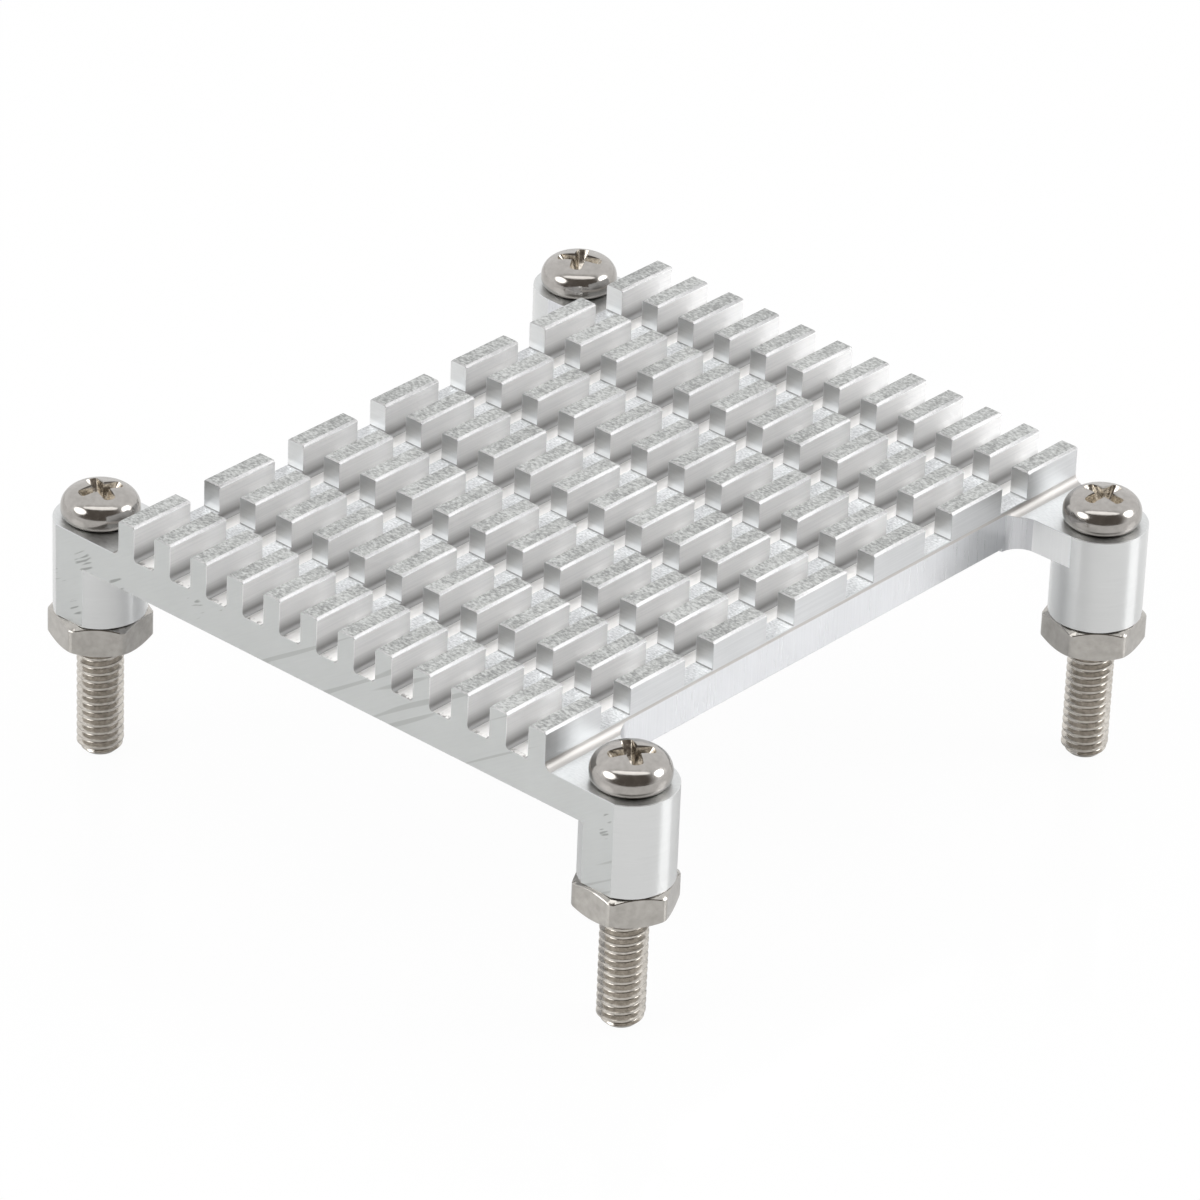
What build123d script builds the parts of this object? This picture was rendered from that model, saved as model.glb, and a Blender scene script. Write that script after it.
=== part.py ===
from build123d import *
import os

# A small finned heat sink that stands on four corner posts, with a screw and a nut at each post.
# All sizes are in millimetres. X runs across the fin columns, Y along the fins and Z up.
# The origin is under the middle of the part, level with the screw tips.

# Fins: the columns are one extruded profile, which cuts across it divide into rows
fin_columns = 12
fin_rows = 7
fin_pitch = 2.6
fin_thickness = 1.15
fin_height = 2.0
fin_edge_break = 0.12
channel_root_radius = 0.25
row_pitch = 6.25
fin_length = 4.1
row_cut_depth = 1.6
row_edge_break = 0.06

# Plate under the fins
plate_thickness = 2.0
side_ledge = 0.05
side_root_radius = 0.5
side_edge_break = 0.2

# Ears that carry the posts
ear_thickness = 1.9
ear_corner_radius = 1.2

# Posts: the reach is from the plate's side, the edge distance from the plate's end
post_diameter = 5.0
post_reach = 3.575
post_edge_distance = 2.3
post_drop = 3.5
screw_hole_clearance = 0.15

# Pan-head screws
thread_diameter = 2.5
screw_length = 14.0
screw_tip_chamfer = 0.35
head_diameter = 4.2
head_height = 1.75
head_foot_rise = 0.35
head_foot_inset = 0.3
head_side_drop = 1.0
head_bevel_drop = 0.6
head_bevel_inset = 0.15
head_crown_drop = 0.3
head_crown_inset = 0.5
recess_width = 2.5
recess_foot_width = 1.0
recess_slot = 0.55
recess_foot_slot = 0.36
recess_depth = 1.1

# Hexagon nuts
nut_across_flats = 4.9
nut_thickness = 1.8
nut_face_diameter = 4.6
nut_chamfer_height = 0.25
nut_bore_clearance = 0.05

# Corners: side in X, side in Y, turn of the recess and turn of the nut in degrees
corners = {
    "front_left": (-1, -1, 71, 11),
    "front_right": (1, -1, 56, 26),
    "back_left": (-1, 1, 30, 18),
    "back_right": (1, 1, 87, 13),
}

# Widths and lengths that follow
block_width = (fin_columns - 1) * fin_pitch + fin_thickness
plate_width = block_width + 2 * side_ledge
body_length = (fin_rows - 1) * row_pitch + fin_length
row_gap = row_pitch - fin_length
post_radius = post_diameter / 2
post_x = plate_width / 2 + post_reach
post_y = body_length / 2 - post_edge_distance
body_width = 2 * (post_x + post_radius)
ear_inner_y = post_y - post_radius

# Levels that follow, up from the screw tips
ear_top = screw_length
plate_bottom = ear_top - ear_thickness
plate_top = plate_bottom + plate_thickness
fin_top = plate_top + fin_height
row_floor = fin_top - row_cut_depth
post_foot = plate_bottom - post_drop


def near(value, target):
    return abs(value - target) < 1e-4


def slab(width, low, high):
    """A rectangle of the profile plane, centred on X, between two levels."""
    return Pos(0, (low + high) / 2) * Rectangle(width, high - low)


def fin_profile():
    """The extruded section: ear flanges, plate and fins, with rounded roots and broken top edges."""
    profile = slab(body_width, plate_bottom, ear_top) + slab(block_width, plate_bottom, plate_top)
    first = -(fin_columns - 1) / 2 * fin_pitch
    fin = slab(fin_thickness, plate_bottom, fin_top)
    profile += [Pos(first + column * fin_pitch, 0) * fin for column in range(fin_columns)]
    tips = profile.vertices().filter_by(lambda v: near(v.Y, fin_top))
    profile = chamfer(tips, fin_edge_break)
    roots = profile.vertices().filter_by(
        lambda v: near(v.Y, plate_top) and abs(v.X) < block_width / 2 - fin_thickness / 2
    )
    profile = fillet(roots, channel_root_radius)
    sides = profile.vertices().filter_by(lambda v: near(v.Y, ear_top) and near(abs(v.X), block_width / 2))
    return fillet(sides, side_root_radius)


def ear_outline(side_x, side_y):
    """One ear from above: a strip with parallel sides and a round end about the post."""
    inner_y = side_y * ear_inner_y
    outer_y = side_y * (post_y + post_radius)
    nose = ThreePointArc(
        (side_x * post_x, inner_y),
        (side_x * (post_x + post_radius), side_y * post_y),
        (side_x * post_x, outer_y),
    )
    sides = Polyline((side_x * post_x, inner_y), (0, inner_y), (0, outer_y), (side_x * post_x, outer_y))
    return make_face(nose + sides)


def plan_outline():
    """The outline from above: the plate with its four ears, cut square by the plate's ends."""
    outline = Rectangle(plate_width, body_length)
    outline += [ear_outline(side_x, side_y) for side_x, side_y, _, _ in corners.values()]
    outline &= Rectangle(body_width, body_length)
    inner = outline.vertices().filter_by(
        lambda v: near(abs(v.X), plate_width / 2) and near(abs(v.Y), ear_inner_y)
    )
    return fillet(inner, ear_corner_radius)


def row_cutter():
    """One cut across the fins, flared at the top to break the fins' end edges."""
    half = row_gap / 2
    mouth = half + row_edge_break
    clear = fin_top + fin_height
    section = Polygon(
        (-half, row_floor),
        (half, row_floor),
        (half, fin_top - row_edge_break),
        (mouth, fin_top),
        (mouth, clear),
        (-mouth, clear),
        (-mouth, fin_top),
        (-half, fin_top - row_edge_break),
        align=None,
    )
    reach = block_width / 2 + 2 * side_root_radius
    return extrude(Plane.YZ * section, amount=reach, both=True)


def side_edge_cutter(side):
    """A prism that breaks the plate's bottom edge between two ears."""
    edge = side * plate_width / 2
    half_run = ear_inner_y - ear_corner_radius
    section = Polygon(
        (edge - side * side_edge_break, plate_bottom),
        (edge, plate_bottom + side_edge_break),
        (edge + side * side_edge_break, plate_bottom),
        (edge, plate_bottom - side_edge_break),
        align=None,
    )
    return extrude(Plane.XZ * section, amount=half_run, both=True)


def post_outline(side_x, side_y):
    """One post from below: a round cut flat by the plate's end."""
    return Pos(side_x * post_x, side_y * post_y) * Circle(post_radius) & Rectangle(body_width, body_length)


def heat_sink_body():
    finned = extrude(Plane.XZ * fin_profile(), amount=body_length / 2, both=True)
    finned -= [Pos(0, (row - fin_rows / 2) * row_pitch, 0) * row_cutter() for row in range(fin_rows + 1)]
    body = finned & extrude(Pos(0, 0, plate_bottom) * plan_outline(), amount=fin_top - plate_bottom)
    body -= [side_edge_cutter(side) for side in (-1, 1)]
    hole = Cylinder(thread_diameter / 2 + screw_hole_clearance, 2 * fin_top)
    posts = []
    holes = []
    for side_x, side_y, _, _ in corners.values():
        posts.append(extrude(Pos(0, 0, post_foot) * post_outline(side_x, side_y), amount=post_drop))
        holes.append(Pos(side_x * post_x, side_y * post_y, 0) * hole)
    return body + posts - holes


def recess(turn):
    """The tapered cross in a screw head."""
    top = ear_top + head_height
    mouth = Pos(0, 0, top) * Rectangle(recess_width, recess_slot)
    foot = Pos(0, 0, top - recess_depth) * Rectangle(recess_foot_width, recess_foot_slot)
    wing = loft([foot, mouth])
    return Rot(0, 0, turn) * (wing + Rot(0, 0, 90) * wing)


def screw(turn):
    """A pan-head screw: a head with a bevelled foot and shoulder and a low dome, over a plain shank."""
    shank = Cylinder(thread_diameter / 2, screw_length, align=(Align.CENTER, Align.CENTER, Align.MIN))
    shank = chamfer(shank.edges().sort_by(Axis.Z)[0], screw_tip_chamfer)
    radius = head_diameter / 2
    crown = (radius - head_crown_inset, head_height - head_crown_drop)
    dome = TangentArc((0, head_height), crown, tangent=(1, 0))
    sides = Polyline(
        (0, head_height),
        (0, 0),
        (radius - head_foot_inset, 0),
        (radius, head_foot_rise),
        (radius, head_height - head_side_drop),
        (radius - head_bevel_inset, head_height - head_bevel_drop),
        crown,
    )
    head = Pos(0, 0, ear_top) * revolve(Plane.XZ * make_face(dome + sides), Axis.Z)
    return shank + head - recess(turn)


def nut(turn):
    """A hexagon nut with both faces turned down to a round, seated under a post."""
    corner_radius = nut_across_flats / 3**0.5
    face_radius = nut_face_diameter / 2
    turned = Polygon(
        (0, 0),
        (face_radius, 0),
        (corner_radius, nut_chamfer_height),
        (corner_radius, nut_thickness - nut_chamfer_height),
        (face_radius, nut_thickness),
        (0, nut_thickness),
        align=None,
    )
    flats = RegularPolygon(nut_across_flats / 2, 6, major_radius=False, rotation=30)
    blank = extrude(flats, amount=nut_thickness) & revolve(Plane.XZ * turned, Axis.Z)
    bore = Cylinder(thread_diameter / 2 + nut_bore_clearance, 4 * nut_thickness)
    return Pos(0, 0, post_foot - nut_thickness) * Rot(0, 0, turn) * (blank - bore)


def save(shape, node):
    export_step(shape, f"parts/{node}.step")


os.makedirs("parts", exist_ok=True)
save(heat_sink_body(), "heat_sink_body")
for corner, (side_x, side_y, screw_turn, nut_turn) in corners.items():
    place = Pos(side_x * post_x, side_y * post_y, 0)
    save(place * screw(screw_turn), f"screw_{corner}")
    save(place * nut(nut_turn), f"nut_{corner}")
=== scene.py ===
import math

import bmesh
import bpy
from mathutils import Euler, Matrix, Vector


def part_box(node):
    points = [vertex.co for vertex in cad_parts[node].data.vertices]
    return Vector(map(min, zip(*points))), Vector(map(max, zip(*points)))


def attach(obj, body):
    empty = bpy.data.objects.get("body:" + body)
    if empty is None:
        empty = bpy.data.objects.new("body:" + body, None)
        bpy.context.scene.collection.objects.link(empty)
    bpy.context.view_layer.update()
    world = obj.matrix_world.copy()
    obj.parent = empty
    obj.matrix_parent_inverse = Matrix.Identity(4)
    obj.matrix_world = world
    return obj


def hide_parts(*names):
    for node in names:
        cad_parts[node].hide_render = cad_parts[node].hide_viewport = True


# The looks of the finned heat sink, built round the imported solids.
# Lengths are in millimetres here, and MM turns them into Blender's metres.
MM = 0.001

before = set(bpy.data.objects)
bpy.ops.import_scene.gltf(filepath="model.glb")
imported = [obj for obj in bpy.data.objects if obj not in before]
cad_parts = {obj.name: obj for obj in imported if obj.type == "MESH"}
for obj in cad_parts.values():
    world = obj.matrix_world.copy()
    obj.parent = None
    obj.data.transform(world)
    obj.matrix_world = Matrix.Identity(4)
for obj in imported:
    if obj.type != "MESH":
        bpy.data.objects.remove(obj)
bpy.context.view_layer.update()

# Levels and ends that the solids give
BODY_HIGH = [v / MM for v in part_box("heat_sink_body")[1]]
NUT_LOW, NUT_HIGH = [[v / MM for v in corner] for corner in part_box("nut_front_left")]
BODY_END = BODY_HIGH[1]
FIN_TOP = BODY_HIGH[2]

# Heat sink body
FIN_HEIGHT = 2.0
ROW_CUT = 1.6
CHANNEL_FLOOR = FIN_TOP - FIN_HEIGHT
ROW_FLOOR = FIN_TOP - ROW_CUT
EAR_TOP = 14.0
PLATE_BOTTOM = 12.1
BLOCK_SIDE = 14.875
POST_PLACE = 18.5
EASED_EDGE = 0.03

# Screws
THREAD_RADIUS = 1.25
THREAD_ROOT_RADIUS = 0.985
THREAD_PITCH = 0.45
THREAD_TOP = 8.3
THREAD_RUN_OUT = 1.5
TIP_RADIUS = 0.86
SHANK_RADIUS = 1.2
SHANK_LOW = 8.2
SHANK_HIGH = EAR_TOP + 0.02
HEAD_RADIUS = 2.1
HEAD_HEIGHT = 1.75
HEAD_FOOT_RISE = 0.5
HEAD_FOOT_INSET = 0.36
HEAD_WAIST = 0.6
HEAD_SHOULDER = 0.95
RECESS_REACH = 1.45
RECESS_LOW = 0.3
RECESS_SKIN = 0.02

# One turn of the thread: share of the pitch, and share of the way from root to crest
THREAD_PROFILE = [
    (0.0, 1.0),
    (0.1, 1.0),
    (0.2, 0.72),
    (0.34, 0.2),
    (0.44, 0.0),
    (0.56, 0.0),
    (0.66, 0.2),
    (0.8, 0.72),
    (0.9, 1.0),
]

# One wing of the cross recess, from the top down: level over the head's foot, half length and width
WING_LEVELS = [
    (1.9, 1.42, 0.46),
    (1.72, 1.33, 0.38),
    (1.6, 1.25, 0.32),
    (1.2, 0.98, 0.27),
    (0.75, 0.6, 0.2),
    (0.62, 0.3, 0.14),
]

# Nuts
NUT_FLAT = 2.45
NUT_FACE_RADIUS = 2.3
NUT_BORE = 1.3
NUT_SINK_WIDTH = 0.2
NUT_SINK_DEPTH = 0.22
NUT_CORNER_ROUNDING = 0.07
NUT_CHAMFER_SLOPE = 0.55
NUT_EASED_EDGE = 0.03
NUT_RIM_INSIDE = 0.05
NUT_RIM_OUTSIDE = 0.02

# Steps round each turned form
HEAD_SEGMENTS = 96
HEAD_FOOT_STEPS = 8
SHOULDER_STEPS = 16
DOME_STEPS = 12
WING_STEPS = 6
THREAD_SEGMENTS = 72
SHANK_SEGMENTS = 48
NUT_SEGMENTS = 144

# Angles in degrees: faces that count as one flat face, edges that are eased, edges that show as
# sharp on each kind of piece, and the end of the arc of a head's dome
FLAT_ANGLE = 0.5
EASED_ANGLE = 60
BODY_SHARP = 20
SCREW_SHARP = 50
NUT_SHARP = 30
DOME_END = 89.5

# Points nearer than MERGE are one point, and levels nearer than LEVEL_ERROR are one level
MERGE = 0.0005
LEVEL_ERROR = 0.000001

# Corners: side in X, side in Y, turn of the recess and turn of the nut in degrees
CORNERS = {
    "front_left": (-1, -1, 71, 11),
    "front_right": (1, -1, 56, 26),
    "back_left": (-1, 1, 30, 18),
    "back_right": (1, 1, 87, 13),
}


def new_object(name, mesh):
    piece = bpy.data.objects.new(name, mesh)
    bpy.context.scene.collection.objects.link(piece)
    return piece


def mesh_from(bm, name):
    mesh = bpy.data.meshes.new(name)
    bm.to_mesh(mesh)
    bm.free()
    return mesh


# Materials


class Nodes:
    """A small helper that adds nodes to one new material or world and links them."""

    def __init__(self, owner):
        owner.use_nodes = True
        self.owner = owner
        self.tree = owner.node_tree
        self.shader = self.tree.nodes.get("Principled BSDF")

    def add(self, kind, **values):
        node = self.tree.nodes.new(kind)
        for key, value in values.items():
            setattr(node, key, value)
        return node

    def link(self, source, target):
        self.tree.links.new(source, target)

    def feed(self, socket, value, extra=()):
        """Sets a socket to a constant or links it to another node's output."""
        if isinstance(value, (int, float)):
            socket.default_value = value
        elif isinstance(value, tuple):
            socket.default_value = value + extra
        else:
            self.link(value, socket)

    def place(self, scale, turn):
        """Object coordinates, in metres, turned and then scaled by a number for each axis."""
        where = self.add("ShaderNodeTexCoord")
        turned = self.add("ShaderNodeMapping")
        turned.inputs["Rotation"].default_value = turn
        self.link(where.outputs["Object"], turned.inputs["Vector"])
        mapping = self.add("ShaderNodeMapping")
        mapping.inputs["Scale"].default_value = scale
        self.link(turned.outputs["Vector"], mapping.inputs["Vector"])
        return mapping.outputs["Vector"]

    def noise(self, scale, detail, turn=(0, 0, 0)):
        """Noise with a frequency per millimetre for each axis."""
        node = self.add("ShaderNodeTexNoise")
        node.inputs["Scale"].default_value = 1.0
        node.inputs["Detail"].default_value = detail
        node.inputs["Roughness"].default_value = 0.55
        self.link(self.place([s / MM for s in scale], turn), node.inputs["Vector"])
        return node.outputs["Fac"]

    def remap(self, value, low, high, out_low, out_high, interpolation="LINEAR"):
        node = self.add("ShaderNodeMapRange", interpolation_type=interpolation)
        node.inputs["From Min"].default_value = low
        node.inputs["From Max"].default_value = high
        node.inputs["To Min"].default_value = out_low
        node.inputs["To Max"].default_value = out_high
        self.link(value, node.inputs["Value"])
        return node.outputs["Result"]

    def blend(self, factor, first, second):
        """A colour between two, each a constant or another node's output."""
        node = self.add("ShaderNodeMix", data_type="RGBA")
        self.link(factor, node.inputs["Factor"])
        self.feed(node.inputs[6], first, (1.0,))
        self.feed(node.inputs[7], second, (1.0,))
        return node.outputs[2]

    def calculate(self, operation, first, second):
        node = self.add("ShaderNodeMath", operation=operation)
        self.feed(node.inputs[0], first)
        self.feed(node.inputs[1], second)
        return node.outputs[0]

    def bump(self, height, distance):
        node = self.add("ShaderNodeBump")
        node.inputs["Distance"].default_value = distance * MM
        node.inputs["Strength"].default_value = 1.0
        self.link(height, node.inputs["Height"])
        self.link(node.outputs["Normal"], self.shader.inputs["Normal"])

    def spot(self, place, radius):
        """1 near a point of the object and 0 beyond the radius, in millimetres."""
        where = self.add("ShaderNodeTexCoord")
        gap = self.add("ShaderNodeVectorMath", operation="DISTANCE")
        self.link(where.outputs["Object"], gap.inputs[0])
        gap.inputs[1].default_value = [v * MM for v in place]
        return self.remap(gap.outputs["Value"], radius * MM, 0.7 * radius * MM, 0.0, 1.0)

    def level(self, axis):
        """One object coordinate, in millimetres."""
        where = self.add("ShaderNodeTexCoord")
        parts = self.add("ShaderNodeSeparateXYZ")
        self.link(where.outputs["Object"], parts.inputs[0])
        return self.calculate("MULTIPLY", parts.outputs[axis], 1 / MM)

    def colour(self, value):
        self.link(value, self.shader.inputs["Base Color"])


# Axes of the object coordinates: along the fins and up
ALONG = 1
UP = 2

# Grains in lines per millimetre on each axis, and the size of the soft clouds under them
DRAWN = (12, 0.2, 12)
UPRIGHT = (9, 9, 0.3)
CLOUDS = (0.35, 0.35, 0.35)

# The saw's travel across the end face, and where the short scores lie: X, Z and radius
SAW_TURN = (0, math.radians(33), 0)
SCORES = [
    (-17.4, 12.6, 0.75),
    (-19.2, 11.0, 0.6),
    (-18.0, 9.6, 0.5),
    (-15.0, 12.3, 0.6),
    (-9.3, 13.2, 0.7),
    (-7.7, 13.9, 0.35),
    (19.1, 13.05, 0.3),
    (18.9, 12.1, 0.35),
]


def metal(name, dark, light, rough, grain, grain_depth, turn=(0, 0, 0), spread=0.18, clouds=0.3):
    """Metal with a grain. Less spread gives more contrast, and clouds is the clouds' share of the tone."""
    nodes = Nodes(bpy.data.materials.new(name))
    lines = nodes.noise(grain, 4.0, turn)
    cloud = nodes.noise(CLOUDS, 2.0)
    line_share = nodes.calculate("MULTIPLY", lines, 1 - clouds)
    cloud_share = nodes.calculate("MULTIPLY", cloud, clouds)
    mixed = nodes.calculate("ADD", line_share, cloud_share)
    tone = nodes.remap(mixed, 0.5 - spread, 0.5 + spread, 0.0, 1.0)
    nodes.tone = nodes.blend(tone, dark, light)
    nodes.colour(nodes.tone)
    nodes.link(nodes.remap(lines, 0.3, 0.7, rough[0], rough[1]), nodes.shader.inputs["Roughness"])
    nodes.shader.inputs["Metallic"].default_value = 1.0
    nodes.bump(lines, grain_depth)
    return nodes


def extruded():
    """The fins' sides: fine lines along them, with painted shade that darkens them towards the foot of each
    channel.
    """
    nodes = metal("extruded", (0.92, 0.925, 0.93), (1.0, 1.0, 1.0), (0.38, 0.48), DRAWN, 0.005, spread=0.10)
    nodes.shader.inputs["Metallic"].default_value = 0.6
    # Painted shade: the sides fade to grey towards the channel's foot, where the fins shade one another.
    unshaded = nodes.remap(nodes.level(UP), CHANNEL_FLOOR + 0.25, CHANNEL_FLOOR + 0.9, 0.0, 1.0)
    nodes.colour(nodes.blend(unshaded, (0.42, 0.42, 0.42), nodes.tone))
    return nodes.owner


def outer_side():
    """The outer sides of the end columns, with a thin, broken line of painted shade near their foot."""
    nodes = metal("outer_side", (0.58, 0.59, 0.60), (0.68, 0.69, 0.70), (0.40, 0.50), DRAWN, 0.004)
    height = nodes.level(UP)
    # Painted shade: a thin dark band just above the channel floor, broken up by noise.
    above = nodes.remap(height, CHANNEL_FLOOR + 0.09, CHANNEL_FLOOR + 0.12, 0.0, 1.0)
    below = nodes.remap(height, CHANNEL_FLOOR + 0.17, CHANNEL_FLOOR + 0.20, 1.0, 0.0)
    shade_line = nodes.calculate("MULTIPLY", above, below)
    broken = nodes.remap(nodes.noise((1.2, 1.2, 1.2), 2.0), 0.4, 0.6, 0.35, 0.9)
    shown = nodes.calculate("MULTIPLY", shade_line, broken)
    nodes.colour(nodes.blend(shown, nodes.tone, (0.46, 0.43, 0.40)))
    return nodes.owner


def channel_floor():
    """The channels' floors: drawn lines along them, torn a little at one sawn end."""
    nodes = metal("channel_floor", (0.87, 0.86, 0.845), (0.96, 0.95, 0.935), (0.34, 0.44), DRAWN, 0.004)
    end = nodes.remap(nodes.level(ALONG), 0.35 - BODY_END, 0.1 - BODY_END, 0.0, 1.0)
    torn = nodes.remap(nodes.noise((3.5, 2.5, 3.5), 2.0), 0.5, 0.58, 0.0, 0.8)
    shown = nodes.calculate("MULTIPLY", end, torn)
    nodes.colour(nodes.blend(shown, nodes.tone, (0.28, 0.27, 0.26)))
    return nodes.owner


def slit_end():
    """The cut ends of the fins: smooth, with a painted reflection of the bright row floor low down and a thin
    painted shade line along their foot.
    """
    nodes = metal("slit_end", (0.65, 0.66, 0.66), (0.71, 0.72, 0.72), (0.30, 0.38), (1.0, 3, 8), 0.001)
    # Painted reflection: the low part of each cut end is lightened, as if it mirrored the bright floor in front
    # of it.
    floor_reflection = nodes.remap(nodes.level(UP), ROW_FLOOR + 0.3, ROW_FLOOR + 0.48, 1.0, 0.0)
    lit = nodes.blend(floor_reflection, nodes.tone, (0.84, 0.85, 0.85))
    # Painted shade: a thin dark line where each cut end meets the floor below it.
    foot = nodes.remap(nodes.level(UP), ROW_FLOOR + 0.03, ROW_FLOOR + 0.08, 0.75, 0.0)
    nodes.colour(nodes.blend(foot, lit, (0.16, 0.155, 0.15)))
    return nodes.owner


def sawn_end():
    """The sawn end: flat and matt, with long faint saw lines and groups of short dark scores."""
    dark, light = (0.55, 0.565, 0.56), (0.61, 0.625, 0.62)
    nodes = metal("sawn_end", dark, light, (0.46, 0.56), (0.6, 5, 9), 0.003, SAW_TURN)
    long_lines = nodes.remap(nodes.noise((0.07, 0.5, 1.7), 1.0, SAW_TURN), 0.655, 0.68, 0.0, 0.55)
    lined = nodes.blend(long_lines, nodes.tone, (0.40, 0.41, 0.40))
    scores = nodes.remap(nodes.noise((0.9, 0.5, 8.0), 0.0, SAW_TURN), 0.60, 0.68, 0.0, 0.65)
    near_scores = 0.0
    for x, z, radius in SCORES:
        near_scores = nodes.calculate("MAXIMUM", near_scores, nodes.spot((x, -BODY_END, z), radius))
    shown = nodes.calculate("MULTIPLY", scores, near_scores)
    nodes.colour(nodes.blend(shown, lined, (0.24, 0.25, 0.24)))
    return nodes.owner


EXTRUDED = extruded()
OUTER_SIDE = outer_side()
FLOOR_FINISH = channel_floor()
SLIT_END = slit_end()
SAWN_END = sawn_end()
# A lighter copy of the milled side, for the ears' sides on the right: painted light where the lamps'
# reflections fall on them.
LIT_EAR_SIDE = metal(
    "lit_ear_side", (0.88, 0.89, 0.89), (0.95, 0.96, 0.96), (0.30, 0.40), UPRIGHT, 0.003
).owner
EAR_ROOT = metal(
    "ear_root", (0.48, 0.465, 0.45), (0.58, 0.565, 0.55), (0.44, 0.54), DRAWN, 0.003
).owner
EAR_FINISH = metal(
    "ear_top", (0.56, 0.57, 0.57), (0.72, 0.73, 0.73), (0.30, 0.42), (4, 9, 4), 0.004
).owner
SAWN_TOP = metal(
    "sawn_top", (0.29, 0.295, 0.29), (0.64, 0.65, 0.64), (0.38, 0.5), (5, 8, 4), 0.004,
    spread=0.12, clouds=0.2,
).owner
MILLED_FLOOR = metal(
    "milled_floor", (0.40, 0.41, 0.42), (0.78, 0.79, 0.80), (0.28, 0.42), (6, 9, 6), 0.006,
    spread=0.14,
).owner
MILLED_SIDE = metal(
    "milled_side", (0.62, 0.63, 0.65), (0.69, 0.70, 0.72), (0.26, 0.36), UPRIGHT, 0.003
).owner
TURNED_POST = metal(
    "turned_post", (0.65, 0.66, 0.66), (0.70, 0.71, 0.71), (0.18, 0.24), (0.5, 0.5, 20), 0.002
).owner
EDGE = metal(
    "broken_edge", (0.34, 0.34, 0.34), (0.52, 0.52, 0.52), (0.34, 0.44), (6, 6, 6), 0.001
).owner
NICKEL_SCREW = metal(
    "nickel_screw", (0.36, 0.345, 0.325), (0.44, 0.42, 0.40), (0.12, 0.19), (3, 3, 3), 0.001
).owner
# The recess walls in a lighter, creamier copy of the nickel: painted light and glints inside the recess, where
# it would lie in its own shade.
LIT_NICKEL_RECESS = metal(
    "lit_nickel_recess", (0.36, 0.33, 0.29), (0.84, 0.79, 0.71), (0.14, 0.28), (5, 5, 5), 0.008,
    spread=0.12,
).owner
NICKEL_NUT = metal(
    "nickel_nut", (0.39, 0.375, 0.35), (0.53, 0.51, 0.48), (0.12, 0.22), (2, 2, 2), 0.002
).owner
NICKEL_THREAD = metal(
    "nickel_thread", (0.40, 0.375, 0.34), (0.67, 0.635, 0.585), (0.14, 0.24), (4, 4, 6), 0.002
).owner

BODY_FINISHES = [
    EXTRUDED,
    OUTER_SIDE,
    LIT_EAR_SIDE,
    EAR_ROOT,
    FLOOR_FINISH,
    SAWN_TOP,
    SAWN_END,
    SLIT_END,
    MILLED_FLOOR,
    EAR_FINISH,
    MILLED_SIDE,
    TURNED_POST,
    EDGE,
]
SCREW_FINISHES = [NICKEL_SCREW, NICKEL_THREAD, LIT_NICKEL_RECESS]
NUT_FINISHES = [NICKEL_NUT]


def finished(bm, name, finishes, sharp_angle):
    """A mesh with smooth faces, sharp where they meet at more than the angle in degrees."""
    for face in bm.faces:
        face.smooth = True
    mesh = mesh_from(bm, name)
    if "custom_normal" in mesh.attributes:
        mesh.attributes.remove(mesh.attributes["custom_normal"])
    mesh.set_sharp_from_angle(angle=math.radians(sharp_angle))
    for finish in finishes:
        mesh.materials.append(finish)
    return mesh


# Heat sink body

# How far a face may lie off a level, and the share of a normal that counts as square to an axis
SLACK = 0.01
SQUARE = 0.99

# The faces of the fins' broken edges and of the ears' rounded roots, by level and upward tilt
EDGE_LOW = FIN_TOP - 0.15
EDGE_TILT = 0.3
ROOT_LOW = EAR_TOP + 0.001
ROOT_TILT = 0.05

# Where an ear's flat side turns into the round of its post, and the post's level below the plate
NOSE_START = POST_PLACE - 0.3
POST_HIGH = PLATE_BOTTOM - 1.0


def near(value, target):
    return abs(value - target) < SLACK


def top_finish(z):
    """The finish of a face that looks up."""
    if near(z, FIN_TOP):
        return SAWN_TOP
    if near(z, ROW_FLOOR):
        return MILLED_FLOOR
    if near(z, EAR_TOP):
        return EAR_FINISH
    return FLOOR_FINISH


def end_finish(x, y, z):
    """The finish of a face that looks along the fins."""
    if near(abs(y), BODY_END):
        return SAWN_END
    if z > ROW_FLOOR:
        return SLIT_END
    if abs(x) > NOSE_START or z < POST_HIGH:
        return TURNED_POST
    # The ears on the right take the lighter copy: painted light.
    return LIT_EAR_SIDE if x > 0 else MILLED_SIDE


def side_finish(reach, z, tilt):
    """The finish of any other face, from how far it lies to the side and how far its normal points up."""
    if reach < BLOCK_SIDE + SLACK and z > CHANNEL_FLOOR - SLACK:
        if z > EDGE_LOW and tilt > EDGE_TILT:
            return EDGE
        return OUTER_SIDE if reach > BLOCK_SIDE - 2 * SLACK else EXTRUDED
    if reach > POST_PLACE - SLACK or z < PLATE_BOTTOM - SLACK:
        return TURNED_POST
    if reach > BLOCK_SIDE and z > ROOT_LOW and tilt > ROOT_TILT:
        return EAR_ROOT
    return MILLED_SIDE


def body_finish(normal, middle):
    """The finish of one face, from where it faces and where it lies, in millimetres."""
    x, y, z = middle
    if normal.z > SQUARE:
        return top_finish(z)
    if normal.z < -SQUARE:
        return MILLED_SIDE if near(z, PLATE_BOTTOM) else MILLED_FLOOR
    if abs(normal.y) > SQUARE:
        return end_finish(x, y, z)
    return side_finish(abs(x), z, normal.z)


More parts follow.
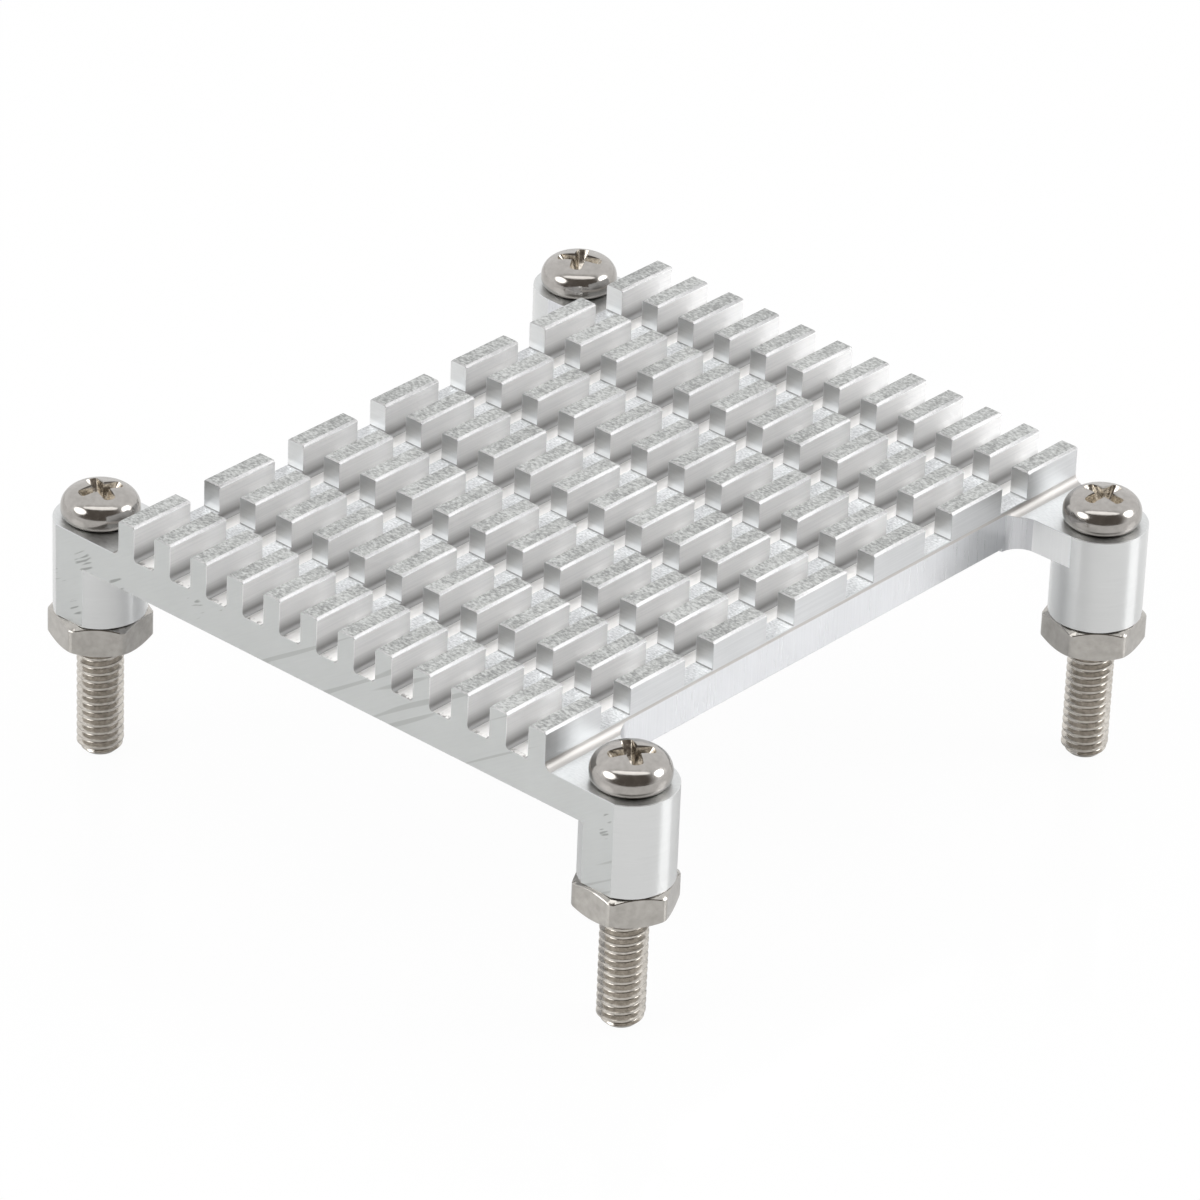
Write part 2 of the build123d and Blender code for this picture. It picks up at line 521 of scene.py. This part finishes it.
def heat_sink_body():
    """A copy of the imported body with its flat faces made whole, its edges eased and a finish on each face."""
    bm = bmesh.new()
    bm.from_mesh(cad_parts["heat_sink_body"].data)
    bmesh.ops.remove_doubles(bm, verts=bm.verts, dist=MERGE * MM)
    bmesh.ops.dissolve_limit(bm, angle_limit=math.radians(FLAT_ANGLE), verts=bm.verts, edges=bm.edges)
    outer = [e for e in bm.edges if e.is_manifold and e.is_convex]
    bmesh.ops.bevel(
        bm,
        geom=[e for e in outer if e.calc_face_angle() > math.radians(EASED_ANGLE)],
        offset=EASED_EDGE * MM,
        offset_type="OFFSET",
        segments=2,
        profile=0.5,
        affect="EDGES",
        clamp_overlap=True,
    )
    for face in bm.faces:
        face.normal_update()
        middle = face.calc_center_median() / MM
        face.material_index = BODY_FINISHES.index(body_finish(face.normal, middle))
    piece = new_object("finned_body", finished(bm, "finned_body", BODY_FINISHES, BODY_SHARP))
    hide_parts("heat_sink_body")
    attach(piece, "root")


# Turned forms


def ring(bm, radius, z, segments):
    """A ring of points about the Z axis."""
    points = []
    for i in range(segments):
        angle = 2 * math.pi * i / segments
        points.append(bm.verts.new((radius * math.cos(angle) * MM, radius * math.sin(angle) * MM, z * MM)))
    return points


def bridge(bm, lower, upper):
    """A band of faces between two rings with as many points."""
    count = len(lower)
    for i in range(count):
        j = (i + 1) % count
        bm.faces.new((lower[i], lower[j], upper[j], upper[i]))


def closed(bm, rings):
    """Bands from ring to ring, from the bottom up, and a face over the first and the last."""
    for lower, upper in zip(rings, rings[1:]):
        bridge(bm, lower, upper)
    bm.faces.new(rings[0][::-1])
    bm.faces.new(rings[-1])
    bmesh.ops.recalc_face_normals(bm, faces=bm.faces)
    return bm


def lathe(profile, segments):
    """A closed solid of revolution from (radius, z) points, from the bottom up."""
    bm = bmesh.new()
    return closed(bm, [ring(bm, radius, z, segments) for radius, z in profile])


def arc(centre, radius, start, end, steps):
    """Points of an arc in the (radius, z) plane, angles in degrees."""
    points = []
    for i in range(steps + 1):
        angle = math.radians(start + (end - start) * i / steps)
        points.append((centre[0] + radius * math.cos(angle), centre[1] + radius * math.sin(angle)))
    return points


# Screws


def dome_shape():
    """The radius of the head's dome and the level of its centre above the head's foot."""
    shoulder_place = HEAD_RADIUS - HEAD_SHOULDER
    rise = HEAD_HEIGHT - HEAD_WAIST
    radius = (rise**2 + shoulder_place**2 - HEAD_SHOULDER**2) / (2 * (rise - HEAD_SHOULDER))
    return radius, HEAD_HEIGHT - radius


def head_profile():
    """A pan head: a round foot and shoulder, widest at the waist, under a low dome."""
    profile = [(SHANK_RADIUS, 0.0)]
    for step in range(HEAD_FOOT_STEPS + 1):
        angle = math.radians(90 * step / HEAD_FOOT_STEPS)
        radius = HEAD_RADIUS - HEAD_FOOT_INSET * (1 - math.sin(angle))
        profile.append((radius, HEAD_FOOT_RISE * (1 - math.cos(angle))))
    dome, dome_centre = dome_shape()
    shoulder_place = HEAD_RADIUS - HEAD_SHOULDER
    lean = math.degrees(math.atan2(HEAD_WAIST - dome_centre, shoulder_place))
    profile += arc((shoulder_place, HEAD_WAIST), HEAD_SHOULDER, 0, lean, SHOULDER_STEPS)
    # The dome stops just short of its top, where a small flat face closes it
    profile += arc((0, dome_centre), dome, lean, DOME_END, DOME_STEPS)[1:]
    return profile


def wing_ring(bm, z, half_length, half_width):
    """The outline of one wing at a level: parallel sides and flattened round ends."""
    points = []
    round_depth = half_width / 2
    for side in (1, -1):
        for step in range(WING_STEPS + 1):
            angle = math.radians(-90 + 180 * step / WING_STEPS)
            x = side * (half_length - round_depth + round_depth * math.cos(angle))
            y = side * half_width * math.sin(angle)
            points.append(bm.verts.new((x * MM, y * MM, z * MM)))
    return points


def wing_cutter(turn):
    """One wing of the cross recess: a tapered bar with rounded ends."""
    bm = bmesh.new()
    rings = [wing_ring(bm, *level) for level in WING_LEVELS]
    closed(bm, rings[::-1])
    bmesh.ops.rotate(bm, verts=bm.verts, cent=(0, 0, 0), matrix=Matrix.Rotation(math.radians(turn), 3, "Z"))
    return new_object("wing", mesh_from(bm, "wing"))


def cut(target, cutters):
    """The target's mesh with the cutters taken away."""
    for cutter in cutters:
        modifier = target.modifiers.new("cut", "BOOLEAN")
        modifier.operation = "DIFFERENCE"
        modifier.solver = "EXACT"
        modifier.object = cutter
    graph = bpy.context.evaluated_depsgraph_get()
    mesh = bpy.data.meshes.new_from_object(target.evaluated_get(graph))
    for scrap in [target] + cutters:
        bpy.data.objects.remove(scrap)
    return mesh


def head(turn):
    """The head with its cross recess, whose walls get a lighter finish of their own: painted light and glints.
    """
    blank = new_object("blank", mesh_from(lathe(head_profile(), HEAD_SEGMENTS), "blank"))
    bm = bmesh.new()
    bm.from_mesh(cut(blank, [wing_cutter(turn), wing_cutter(turn + 90)]))
    dome, dome_centre = dome_shape()
    for face in bm.faces:
        x, y, z = face.calc_center_median() / MM
        reach = math.hypot(x, y)
        surface = dome_centre + math.sqrt(dome**2 - reach**2)
        in_recess = reach < RECESS_REACH and RECESS_LOW < z < surface - RECESS_SKIN
        face.material_index = SCREW_FINISHES.index(LIT_NICKEL_RECESS if in_recess else NICKEL_SCREW)
    bmesh.ops.translate(bm, verts=bm.verts, vec=(0, 0, EAR_TOP * MM))
    return bm


def thread_point(turns, share, height):
    """A point of the thread after so many turns, at a share of the pitch and of the thread's height."""
    angle = 2 * math.pi * turns
    # The turns are counted from below the tip, so that the thread runs out there
    z = max(0.0, THREAD_PITCH * (turns + share - THREAD_RUN_OUT))
    radius = THREAD_ROOT_RADIUS + (THREAD_RADIUS - THREAD_ROOT_RADIUS) * height
    if z >= THREAD_TOP:
        z = THREAD_TOP
        radius = SHANK_RADIUS
    # The tip's chamfer, at 45 degrees
    radius = min(radius, TIP_RADIUS + z)
    return radius * math.cos(angle) * MM, radius * math.sin(angle) * MM, z * MM


def thread():
    """The helical thread from the tip up to the plain shank, closed at both ends."""
    bm = bmesh.new()
    turns = int(THREAD_TOP / THREAD_PITCH) + 3
    rows = []
    for step in range(THREAD_SEGMENTS * (turns + 1) + 1):
        points = [thread_point(step / THREAD_SEGMENTS, share, height) for share, height in THREAD_PROFILE]
        rows.append([bm.verts.new(point) for point in points])
    for step in range(THREAD_SEGMENTS * turns):
        # Each row of the profile ends where the row one turn further up begins
        first = rows[step] + rows[step + THREAD_SEGMENTS][:1]
        second = rows[step + 1] + rows[step + 1 + THREAD_SEGMENTS][:1]
        for corners in zip(first, second, second[1:], first[1:]):
            levels = [corner.co.z / MM for corner in corners]
            if min(levels) < THREAD_TOP - LEVEL_ERROR and max(levels) > LEVEL_ERROR:
                bm.faces.new(corners)
    bmesh.ops.remove_doubles(bm, verts=bm.verts, dist=MERGE * MM)
    loose = [v for v in bm.verts if not v.link_faces]
    bmesh.ops.delete(bm, geom=loose, context="VERTS")
    bmesh.ops.holes_fill(bm, edges=[e for e in bm.edges if e.is_boundary], sides=0)
    bmesh.ops.recalc_face_normals(bm, faces=bm.faces)
    for face in bm.faces:
        face.material_index = SCREW_FINISHES.index(NICKEL_THREAD)
    return bm


def add_part(bm, part):
    """Puts the faces of one form into another."""
    mesh = mesh_from(part, "part")
    bm.from_mesh(mesh)
    bpy.data.meshes.remove(mesh)


def screw(corner, side_x, side_y, turn):
    """One screw: a thread below, a plain shank in its post and a pan head with a cross recess."""
    bm = head(turn)
    add_part(bm, thread())
    add_part(bm, lathe([(SHANK_RADIUS, SHANK_LOW), (SHANK_RADIUS, SHANK_HIGH)], SHANK_SEGMENTS))
    place = Vector((side_x * POST_PLACE, side_y * POST_PLACE, 0)) * MM
    bmesh.ops.translate(bm, verts=bm.verts, vec=place)
    piece = new_object("pan_screw_" + corner, finished(bm, "screw_" + corner, SCREW_FINISHES, SCREW_SHARP))
    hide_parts("screw_" + corner)
    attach(piece, "root")


# Nuts


def hexagon_radius(angle, flat):
    """Radius of a hexagon with slightly rounded corners at an angle from a flat's normal."""
    sector = math.radians(60)
    from_flat = (angle + sector / 2) % sector - sector / 2
    corner = flat / math.cos(sector / 2) - NUT_CORNER_ROUNDING
    return min(flat / math.cos(from_flat), corner)


def wall_ring(bm, height, up, inset, shift):
    """A ring on the nut's wall, at the edge that the cone of its upper or lower chamfer cuts on it."""
    points = []
    for i in range(NUT_SEGMENTS):
        angle = 2 * math.pi * i / NUT_SEGMENTS
        radius = hexagon_radius(angle, NUT_FLAT - inset)
        drop = max(0.0, radius - NUT_FACE_RADIUS) * NUT_CHAMFER_SLOPE + shift
        z = height - drop if up else drop
        points.append(bm.verts.new((radius * math.cos(angle) * MM, radius * math.sin(angle) * MM, z * MM)))
    return points


def nut_half(bm, height, up):
    """The rings of one face of the nut, from its bore out to its wall."""
    face_rings = [
        (NUT_BORE, NUT_SINK_DEPTH),
        (NUT_BORE + NUT_SINK_WIDTH, 0.0),
        (NUT_FACE_RADIUS - NUT_RIM_INSIDE, 0.0),
        (NUT_FACE_RADIUS + NUT_RIM_OUTSIDE, NUT_RIM_OUTSIDE),
    ]
    rings = [ring(bm, radius, height - drop if up else drop, NUT_SEGMENTS) for radius, drop in face_rings]
    rings.append(wall_ring(bm, height, up, NUT_EASED_EDGE, 0.0))
    rings.append(wall_ring(bm, height, up, 0.0, NUT_EASED_EDGE))
    return rings


def nut(corner, side_x, side_y, turn):
    """One hexagon nut with turned faces, chamfered corners and a countersunk bore."""
    bm = bmesh.new()
    height = NUT_HIGH[2] - NUT_LOW[2]
    rings = nut_half(bm, height, False) + nut_half(bm, height, True)[::-1]
    for first, second in zip(rings, rings[1:] + rings[:1]):
        bridge(bm, first, second)
    bmesh.ops.recalc_face_normals(bm, faces=bm.faces)
    bmesh.ops.rotate(bm, verts=bm.verts, cent=(0, 0, 0), matrix=Matrix.Rotation(math.radians(turn), 3, "Z"))
    place = Vector((side_x * POST_PLACE, side_y * POST_PLACE, NUT_LOW[2])) * MM
    bmesh.ops.translate(bm, verts=bm.verts, vec=place)
    piece = new_object("hexagon_nut_" + corner, finished(bm, "nut_" + corner, NUT_FINISHES, NUT_SHARP))
    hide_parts("nut_" + corner)
    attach(piece, "root")


heat_sink_body()
for corner, (side_x, side_y, screw_turn, nut_turn) in CORNERS.items():
    screw(corner, side_x, side_y, screw_turn)
    nut(corner, side_x, side_y, nut_turn)


# Floor, light and camera

# Floor: half its width, its paper's brightness, and how it shows in the picture and in the metal
FLOOR_REACH = 3000
FLOOR_PAPER = 0.86
FLOOR_SHEEN = 0.12
FLOOR_SHEEN_ROUGHNESS = 0.11
FLOOR_SHOWN = 0.96
FLOOR_GLOW = 0.2

# The room: white behind the object, dim and brownish towards the front, the way the camera stands
ROOM_BACK = 1.1
ROOM_FRONT = 0.16
ROOM_TINT = (1.0, 0.88, 0.78)
FRONT = (0.567, -0.654, 0.5)
FRONT_FADE = (0.2, 0.72)

# Lamps: name, azimuth and elevation in degrees, width, height and brightness
LAMP_DISTANCE = 600
LAMP_AIM = (0, 0, 12)
LAMPS = [
    ("right", 43, 29, 300, 340, 4.3),
    ("left", -115, 32, 380, 340, 3.2),
    ("top", -49, 80, 860, 230, 1.8),
]

# Camera, solved from the photograph's grid of fins: its place and its turn in degrees
CAMERA_LENS = 224.134
CAMERA_PLACE = (222.499, -256.660, 205.269)
CAMERA_TURN = (59.9674, -1.9746, 42.0620)


def floor():
    """A plain white floor that shows nearly white to the camera and keeps a soft shadow."""
    nodes = Nodes(bpy.data.materials.new("white_floor"))
    nodes.tree.nodes.remove(nodes.shader)
    diffuse = nodes.add("ShaderNodeBsdfDiffuse")
    diffuse.inputs["Color"].default_value = (FLOOR_PAPER, FLOOR_PAPER, FLOOR_PAPER, 1)
    sheen = nodes.add("ShaderNodeBsdfGlossy")
    sheen.inputs["Color"].default_value = (1, 1, 1, 1)
    sheen.inputs["Roughness"].default_value = FLOOR_SHEEN_ROUGHNESS
    paper = nodes.add("ShaderNodeMixShader")
    paper.inputs[0].default_value = FLOOR_SHEEN
    nodes.link(diffuse.outputs[0], paper.inputs[1])
    nodes.link(sheen.outputs[0], paper.inputs[2])
    glow = nodes.add("ShaderNodeEmission")
    glow.inputs["Color"].default_value = (1, 1, 1, 1)
    path = nodes.add("ShaderNodeLightPath")
    shown = nodes.calculate("MULTIPLY", path.outputs["Is Camera Ray"], FLOOR_SHOWN)
    mirrored = nodes.calculate("MULTIPLY", path.outputs["Is Glossy Ray"], FLOOR_GLOW)
    mix = nodes.add("ShaderNodeMixShader")
    nodes.link(nodes.calculate("ADD", shown, mirrored), mix.inputs[0])
    nodes.link(paper.outputs[0], mix.inputs[1])
    nodes.link(glow.outputs[0], mix.inputs[2])
    nodes.link(mix.outputs[0], nodes.tree.nodes["Material Output"].inputs["Surface"])
    reach = FLOOR_REACH * MM
    outline = [(-reach, -reach, 0), (reach, -reach, 0), (reach, reach, 0), (-reach, reach, 0)]
    mesh = bpy.data.meshes.new("floor")
    mesh.from_pydata(outline, [], [(0, 1, 2, 3)])
    mesh.materials.append(nodes.owner)
    piece = new_object("floor", mesh)


def room():
    """A white studio behind the object and a dim, brownish room towards the camera."""
    nodes = Nodes(bpy.data.worlds.new("studio"))
    bpy.context.scene.world = nodes.owner
    where = nodes.add("ShaderNodeTexCoord")
    facing = nodes.add("ShaderNodeVectorMath", operation="DOT_PRODUCT")
    facing.inputs[1].default_value = FRONT
    nodes.link(where.outputs["Generated"], facing.inputs[0])
    fade = nodes.remap(facing.outputs["Value"], *FRONT_FADE, 0.0, 1.0, "SMOOTHSTEP")
    back = (ROOM_BACK, ROOM_BACK, ROOM_BACK)
    front = tuple(ROOM_FRONT * share for share in ROOM_TINT)
    surroundings = nodes.blend(fade, back, front)
    path = nodes.add("ShaderNodeLightPath")
    seen = nodes.blend(path.outputs["Is Camera Ray"], surroundings, (1.0, 1.0, 1.0))
    nodes.link(seen, nodes.tree.nodes["Background"].inputs["Color"])


def lamp(name, azimuth, elevation, width, height, brightness):
    """A soft oval lamp that shines on the object from one side."""
    data = bpy.data.lights.new(name, "AREA")
    data.shape = "ELLIPSE"
    data.size = width * MM
    data.size_y = height * MM
    oval = math.pi / 4 * data.size * data.size_y
    data.energy = brightness * math.pi * oval
    turn, tilt = math.radians(azimuth), math.radians(elevation)
    away = Vector((math.cos(turn) * math.cos(tilt), math.sin(turn) * math.cos(tilt), math.sin(tilt)))
    position = (Vector(LAMP_AIM) + away * LAMP_DISTANCE) * MM
    piece = new_object(name, data)
    piece.matrix_world = Matrix.Translation(position) @ (-away).to_track_quat("-Z", "Y").to_matrix().to_4x4()


def camera():
    """The photograph's camera."""
    data = bpy.data.cameras.new("camera")
    data.sensor_width = 36.0
    data.lens = CAMERA_LENS
    data.clip_start = 0.01
    data.clip_end = 20.0
    piece = new_object("camera", data)
    turn = Euler([math.radians(angle) for angle in CAMERA_TURN])
    piece.matrix_world = Matrix.Translation(Vector(CAMERA_PLACE) * MM) @ turn.to_matrix().to_4x4()
    bpy.context.scene.camera = piece


floor()
room()
for name, azimuth, elevation, width, height, brightness in LAMPS:
    lamp(name, azimuth, elevation, width, height, brightness)
camera()

bpy.context.scene.view_settings.view_transform = "Standard"
